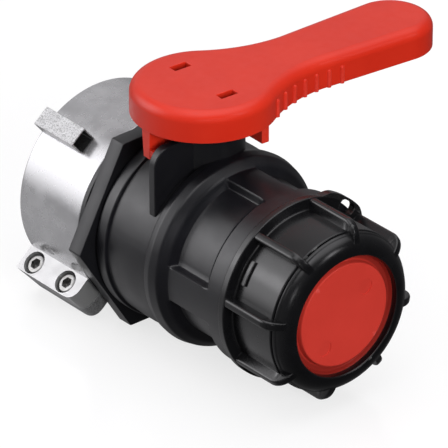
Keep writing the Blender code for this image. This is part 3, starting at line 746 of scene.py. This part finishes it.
def make_grip_ribs():
    """Upright ribs on each side of the handle's waist, with rounded tops."""
    for side, word in ((-1, "left"), (1, "right")):
        bm = bmesh.new()
        for index in range(GRIP_RIBS):
            y = GRIP_FIRST_Y + GRIP_PITCH * index
            x = side * (handle_half_width(y) - 0.15)
            top, radius = HANDLE_TOP - 5.4, 1.1
            profile = [(HANDLE_BOTTOM + 0.1, 0.0), (HANDLE_BOTTOM + 0.1, radius)]
            profile += arc(top - radius, 0.0, radius, 90, 6, 6)
            rings = []
            for along, reach in profile[1:]:
                rings.append([bm.verts.new(about_z(along, reach, math.tau * k / 20) + Vector((x, y, 0.0)))
                              for k in range(20)])
            for lower, upper in zip(rings, rings[1:]):
                for k in range(20):
                    bm.faces.new((lower[k], lower[(k + 1) % 20], upper[(k + 1) % 20], upper[k]))
            bm.faces.new(rings[0][::-1])
            bm.faces.new(rings[-1])
        ribs = on_handle(add_object(f"grip_ribs_{word}", bm))
        dress(ribs, "handle_red", "handle", "handle", smooth_deg=50.0)


def make_handle_inside():
    """Boss, spine, webs, snap hooks and end-stop tabs on the underside."""
    root = HANDLE_TOP - HANDLE_WALL + 0.8
    half = STEM_SQUARE / 2 + 0.3
    boss = lathe("handle_boss", [(61.6, 0.0), (61.6, 11.0), (root, 11.0), (root, 0.0)], about_z, 72)
    cut(boss, box("square_hole", (-half, -half, 55.0), (half, half, 69.8)))
    dress(on_handle(boss), "handle_red", "handle", "handle", edge=0.3)
    low = HANDLE_BOTTOM + 2.0
    spine = box("handle_spine", (-1.1, 24.0, low), (1.1, TIP_Y + TIP_R - 2.0, root))
    dress(on_handle(spine), "handle_red", "handle", "handle", edge=0.3)
    for index, y in enumerate((42.0, 62.0, 82.0, 102.0)):
        reach = handle_half_width(y) - 1.5
        web = box(f"handle_web_{index}", (-reach, y - 1.0, low + 0.7), (reach, y + 1.0, root))
        dress(on_handle(web), "handle_red", "handle", "handle", edge=0.3)
    for side, word in ((-1, "left"), (1, "right")):
        outline = [(20.2, root), (20.2, 63.5), (18.4, 62.4), (18.4, 61.2), (22.2, 61.2), (22.2, root)]
        loops = [[Vector((side * x, y, z)) for x, z in outline] for y in (-3.9, 3.9)]
        dress(on_handle(loft(f"snap_hook_{word}", loops)), "handle_red", "handle", "handle", edge=0.25)
    top = HANDLE_BOTTOM + 5.0
    outline = [(-1.0, 47.2), (3.2, 47.2), (3.2, top), (-2.6, top)]
    shut = loft("shut_tab", [[Vector((x, y, z)) for x, z in outline] for y in (-31.2, -19.6)])
    foot = box("shut_tab_foot", (3.0, -31.0, 47.4), (STOP_X0 - 0.4, -21.0, 51.5))
    combine(shut, foot, "UNION")
    dress(on_handle(shut), "handle_red", "handle", "handle", edge=0.35)
    open_tab = box("open_tab", (17.2, STOP_X1 + 0.3, 50.6), (26.3, STOP_X1 + 4.2, top))
    dress(on_handle(open_tab), "handle_red", "handle", "handle", edge=0.35)


def make_stem_and_ball():
    profile = rounded([
        (35.4, 0.0, 0.0), (35.4, STEM_FLANGE_R, 0.4), (38.2, STEM_FLANGE_R, 0.4), (38.2, STEM_R, 0.3),
        (44.0, STEM_R, 0.2), (44.0, STEM_GROOVE_R, 0.2), (46.8, STEM_GROOVE_R, 0.2), (46.8, STEM_R, 0.2),
        (50.0, STEM_R, 0.2), (50.0, STEM_GROOVE_R, 0.2), (52.8, STEM_GROOVE_R, 0.2), (52.8, STEM_R, 0.2),
        (61.2, STEM_R, 0.6), (61.2, 0.0, 0.0),
    ], 3)
    shaft = lathe("stem_shaft", profile, about_z, 96)
    half = STEM_SQUARE / 2
    combine(shaft, box("tang", (-11.0, -4.0, 26.9), (11.0, 4.0, 36.0)), "UNION")
    combine(shaft, box("square", (-half, -half, 60.0), (half, half, 69.3)), "UNION")
    dress(on_handle(shaft), "body_black", "handle", "stem")
    edge = math.degrees(math.asin(BALL_BORE_R / BALL_R))
    section = arc(0.0, 0.0, BALL_R, edge + 0.6, 180.0 - edge - 0.6, 64)
    reach = BALL_R * math.cos(math.radians(edge + 0.6)) - 0.5
    section += [(-reach, BALL_BORE_R), (reach, BALL_BORE_R)]
    ball = lathe("ball_body", section, about_y, 144)
    cut(ball, box("drive_slot", (-40.0, -4.3, 26.5), (40.0, 4.3, 40.0)))
    dress(on_handle(ball), "ball_pale", "handle", "ball", smooth_deg=30.0)


def seal_ring(name, look, body, node, along, major, minor, place=about_x):
    section = [(along + minor * math.cos(math.tau * k / 16), major + minor * math.sin(math.tau * k / 16))
               for k in range(16)]
    ring = lathe(name, section, place, 120)
    if place is about_z:
        on_handle(ring)
    dress(ring, look, body, node, smooth_deg=60.0)


def flat_ring(name, look, body, node, start, end, inner, outer, place=about_x):
    profile = rounded([(start, outer, 0.3), (end, outer, 0.3), (end, inner, 0.3), (start, inner, 0.3)], 3)
    ring = lathe(name, profile, place, 120)
    if place is about_z:
        on_handle(ring)
    dress(ring, look, body, node)


def make_seals():
    flat_ring("inlet_gasket_ring", "seal_black", "valve", "inlet_gasket", 19.6, 21.7, 25.0, 39.0)
    flat_ring("cap_gasket_ring", "seal_black", "seal", "cap_gasket", 156.8, 159.1, 24.2, 30.0)
    flat_ring("thrust_washer", "seat_white", "handle", "stem_thrust_washer", 38.5, 39.4, 11.2, 13.0, about_z)
    seal_ring("end_oring_cord", "seal_black", "valve", "end_oring", 53.8, 37.5, 1.0)
    for level, along in (("lower", 45.4), ("upper", 51.4)):
        node = f"stem_oring_{level}"
        seal_ring(f"{node}_cord", "seal_black", "handle", node, along, 10.1, 0.85, about_z)
    for word, side in (("inlet", -1), ("outlet", 1)):
        node = f"seat_oring_{word}"
        seal_ring(f"{node}_cord", "seal_black", "valve", node, STEM_X + side * 28.6, 27.9, 1.1)
        section = [(24.4, 24.2), (17.2, 31.0), (27.0, 31.0), (27.0, 24.2)]
        seat = lathe(f"seat_{word}_ring", [(STEM_X + side * x, r) for x, r in section], about_x, 120)
        dress(seat, "seat_white", "valve", f"seat_{word}")


# ---------------------------------------------------------------- outlet cap

WING_HALF, WING_EDGE_R = 1.9, 1.2
WING_OFFSETS = [0.0, 0.45, 0.85, 1.2, 1.5, 1.75, 1.9, 1.97, 2.04, 2.12, 2.25, 2.45, 2.75, 3.15, 3.7, 4.4]


def wing_crest(along):
    """Height of a wing's top along the cap; it rolls over onto the front ring."""
    drop = max(0.0, along - WING_BEND) / WING_ROLL
    if along < CAP_BACK + RIM_WIDTH or drop >= 0.975:
        return 0.0
    return WING_TIP_R + (CAP_WING_R - WING_TIP_R) * math.sqrt(1.0 - drop * drop)


def cap_radius(along, radius, angle):
    """Adds the wings, with a fillet at their feet."""
    if radius < 28.5:
        return radius
    degrees = math.degrees(angle) % 360.0
    spacing = 360.0 / WINGS
    away = (degrees - FIRST_WING_DEG + spacing / 2) % spacing - spacing / 2
    side = abs(math.radians(away)) * WING_ARC_R
    crest = wing_crest(along)
    if crest > 0.0 and side < 5.0:
        flat = WING_HALF - WING_EDGE_R
        if side > flat:
            crest -= WING_EDGE_R - math.sqrt(max(0.0, WING_EDGE_R ** 2 - (min(side, WING_HALF) - flat) ** 2))
        crest -= 60.0 * max(0.0, side - WING_HALF)
        radius = smooth_max(radius, crest, 2.2 if along < WING_BEND else 1.2)
    return min(radius, CAP_RIM_R)


def make_cap():
    outer = rounded([
        (CAP_BACK, 31.6, 0.0), (CAP_BACK, CAP_RIM_R, 0.6), (CAP_BACK + 3.6, CAP_RIM_R, 0.7),
        (CAP_BACK + 3.7, CAP_BODY_R, 1.2), (158.9, CAP_BODY_R, 0.8), (159.3, CAP_BODY_R - 1.3, 0.25),
        (160.2, CAP_BODY_R - 1.3, 0.25), (160.5, CAP_BODY_R - 0.3, 0.35),
    ], 7)
    ring_r = CAP_OPENING_R + LIP_R
    outer.append((161.0, CAP_BODY_R - 0.65))
    for a, b in arc(0.0, 0.0, 1.0, 69, 0, 22):
        outer.append((CAP_FRONT - RING_DEPTH + RING_DEPTH * a, ring_r + RING_WIDTH * b))
    outer += arc(CAP_FRONT - LIP_R, ring_r, LIP_R, -15, -90, 5)
    outer += [(162.7, CAP_OPENING_R)]
    inner = [(162.7, 30.6), (CAP_BACK + 1.0, 30.6)]
    centres = [FIRST_WING_DEG + 360.0 / WINGS * k for k in range(WINGS)]
    offsets = [math.degrees(side / WING_ARC_R) for side in WING_OFFSETS]
    angles = angles_near(centres, offsets, 2.25)
    cap = lathe("cap_shell", denser(outer, 0.7) + inner, about_x, height=cap_radius, angles=angles)
    ridge = helix_ridge("cap_thread", THREAD_START + THREAD_PITCH / 2, 31.2, 28.2, 2.0, 1.1, 2.0)
    dress(ridge, "cap_black", "cap", "outlet_cap", smooth_deg=60.0)
    frame_at_tab = radial_frame(TETHER_DEG)
    outline = []
    for k in range(61):
        away = TAB_HALF_DEG * (k / 30.0 - 1.0)
        reach = TAB_ROOT_R + TAB_RISE * smooth_step(TAB_HALF_DEG - abs(away), 0.0, 15.0)
        outline.append((reach * math.cos(math.radians(away)), reach * math.sin(math.radians(away))))
    outline += [(33.0, 16.0), (33.0, -16.0)]
    tab = prism("cap_tether_tab", outline, (CAP_BACK, CAP_BACK + RIM_WIDTH), frame_at_tab)
    near, far = SLOT_SIDES
    slot = arc(SLOT_R, far, SLOT_HALF_WIDTH, 180, 0, 20) + arc(SLOT_R, near, SLOT_HALF_WIDTH, 0, -180, 20)
    for piece in (tab, cap):
        cut(piece, prism("slot", slot, (CAP_BACK - 3.0, CAP_BACK + 8.0), frame_at_tab))
    dress(cap, "cap_black", "cap", "outlet_cap", smooth_deg=48.0)
    dress(tab, "cap_black", "cap", "outlet_cap", edge=0.5)
    section = rounded([(136.9, 36.0, 0.0), (136.9, 37.7, 0.5), (139.5, 37.7, 0.5), (139.5, 36.0, 0.0)], 3)
    bar = sector("cap_bar", section, 138.5, 156.0, 20)
    dress(bar, "cap_black", "cap", "outlet_cap", edge=0.2)


def make_seal_disc():
    """Flat red disc with a rounded edge, a flange under the cap's lip, and two faint ejector marks."""
    outline = rounded([
        (159.4, 30.2, 0.3), (162.4, 30.2, 0.2), (162.4, 27.3, 0.2), (GROOVE_FLOOR, GROOVE_R, 0.6),
        (GROOVE_FLOOR, DISC_R + 0.5, 0.6), (DISC_FACE, DISC_R, 0.9), (DISC_FACE, 21.0, 0.0),
    ], 6)
    turns = [math.tau * k / 200 for k in range(200)]
    disc = loft("seal_disc_face", [[about_x(x, r, angle) for angle in turns] for x, r in outline])
    tilt = Matrix.Rotation(math.radians(3.2), 4, Vector((0.0, 0.75, 0.65)))
    for y, z in EJECTORS:
        section = [(-0.2, 0.0), (-0.2, EJECTOR_R), (3.0, EJECTOR_R), (3.0, 0.0)]
        pin = lathe("ejector_pin", section, about_x, 64)
        pin.matrix_world = Matrix.Translation(Vector((DISC_FACE, y, z)) * MM) @ tilt
        bpy.context.view_layer.update()
        cut(disc, pin)
    dress(disc, "disc_red", "seal", "seal_disc", smooth_deg=40.0)
    for face in disc.data.polygons:
        if face.normal.x > 0.9995:
            face.use_smooth = False


# ---------------------------------------------------------------- studio

def direction(azimuth, elevation):
    """Unit vector seen from the object; azimuth 0 is towards -Y and 90 towards +X."""
    a, e = math.radians(azimuth), math.radians(elevation)
    return Vector((math.sin(a) * math.cos(e), -math.cos(a) * math.cos(e), math.sin(e)))


def make_camera():
    azimuth, elevation = 50.4, 28.6
    back = direction(azimuth, elevation)
    right = Vector((math.cos(math.radians(azimuth)), math.sin(math.radians(azimuth)), 0.0))
    up = back.cross(right)
    target = Vector((STEM_X * MM, 0.0, 0.0)) + right * 0.0086 + up * 0.00393
    data = bpy.data.cameras.new("camera")
    data.lens, data.sensor_width = 404.49, 36.0
    data.clip_end = 50.0
    camera = bpy.data.objects.new("camera", data)
    bpy.context.scene.collection.objects.link(camera)
    turn = Matrix((right, up, back)).transposed().to_4x4()
    camera.matrix_world = Matrix.Translation(target + back * 2.1653) @ turn
    bpy.context.scene.camera = camera


LOBES = (
    # direction (azimuth, elevation), full out to, gone by (degrees), radiance
    (-46.0, 24.0, 14.0, 35.0, 2.1),     # tall softbox on the left
    (-46.0, 24.0, 3.0, 9.0, 2.6),       # its bright middle
    (-58.0, -42.0, 12.0, 40.0, 0.30),   # bounce from the table at the lower left
    (-122.0, 34.0, 12.0, 46.0, 0.30),   # pale wall behind
    (20.0, 62.0, 8.0, 24.0, 1.0),       # small lamp above the camera
    (52.0, 18.0, 2.0, 7.0, 4.0),        # catch light for rounded edges, beside the camera
    (112.0, 32.0, 3.0, 10.0, 4.0),      # the same from the right
    (160.0, 80.0, 14.0, 42.0, 1.5),     # overhead
)


def make_fill():
    """Broad lamp beside the camera that only lights matt colour, so it leaves no glare on black."""
    aim = direction(76.0, 20.0)
    data = bpy.data.lights.new("fill", "AREA")
    data.shape = "SQUARE"
    data.size = 0.8
    data.energy = 9.6 * math.pi * data.size ** 2
    light = bpy.data.objects.new("fill", data)
    bpy.context.scene.collection.objects.link(light)
    light.location = Vector((0.08, 0.0, 0.0)) + aim * 1.6
    light.rotation_euler = aim.to_track_quat("Z", "Y").to_euler()
    light.visible_glossy = False


def make_world():
    """Soft studio surround: several smooth-edged glows over a grey that darkens to the right."""
    world = bpy.data.worlds.new("studio")
    world.use_nodes = True
    tree = world.node_tree
    way = tree.nodes.new("ShaderNodeTexCoord").outputs["Generated"]

    def glow(aim, from_dot, to_dot, low, high, kind):
        dot = tree.nodes.new("ShaderNodeVectorMath")
        dot.operation = "DOT_PRODUCT"
        dot.inputs[1].default_value = aim
        tree.links.new(way, dot.inputs[0])
        shape = tree.nodes.new("ShaderNodeMapRange")
        shape.interpolation_type = kind
        for key, value in zip(("From Min", "From Max", "To Min", "To Max"), (from_dot, to_dot, low, high)):
            shape.inputs[key].default_value = value
        tree.links.new(dot.outputs["Value"], shape.inputs["Value"])
        return shape.outputs["Result"]

    total = glow(direction(-70.0, 20.0), -0.9, 0.6, 0.02, 0.21, "LINEAR")
    for azimuth, elevation, inner, outer, radiance in LOBES:
        dots = math.cos(math.radians(outer)), math.cos(math.radians(inner))
        extra = glow(direction(azimuth, elevation), *dots, 0.0, radiance, "SMOOTHSTEP")
        add = tree.nodes.new("ShaderNodeMath")
        tree.links.new(total, add.inputs[0])
        tree.links.new(extra, add.inputs[1])
        total = add.outputs["Value"]
    background = tree.nodes["Background"]
    background.inputs["Color"].default_value = (0.985, 0.975, 1.0, 1.0)
    tree.links.new(total, background.inputs["Strength"])
    bpy.context.scene.world = world


def make_floor():
    bm = bmesh.new()
    level = CAD_BOX[0][2] / MM - 0.5
    edge = 4000.0
    for x, y in ((-edge, -edge), (edge, -edge), (edge, edge), (-edge, edge)):
        bm.verts.new((x, y, level))
    bm.faces.new(bm.verts)
    floor = add_object("floor", bm)
    n = Nodes("floor_white")
    n.shader.inputs["Base Color"].default_value = (0.26, 0.26, 0.26, 1.0)
    n.shader.inputs["Emission Color"].default_value = (1.0, 1.0, 1.0, 1.0)
    n.shader.inputs["Emission Strength"].default_value = 0.73
    n.set(roughness=n.spread(n.noise(3.0), 0.16, 0.22))
    floor.data.materials.append(n.material)
    floor.visible_glossy = False
    floor.visible_diffuse = False


make_camera()
make_fill()
make_world()
make_floor()
make_body()
make_tower()
make_end_nut()
make_clamp()
make_clamp_screw("rear_screw", SCREW_X[0], "clamp_screw_rear")
make_clamp_screw("front_screw", SCREW_X[1], "clamp_screw_front")
make_handle_shell()
make_grip_ribs()
make_handle_inside()
make_stem_and_ball()
make_seals()
make_cap()
make_seal_disc()
bpy.context.scene.view_settings.view_transform = "Standard"
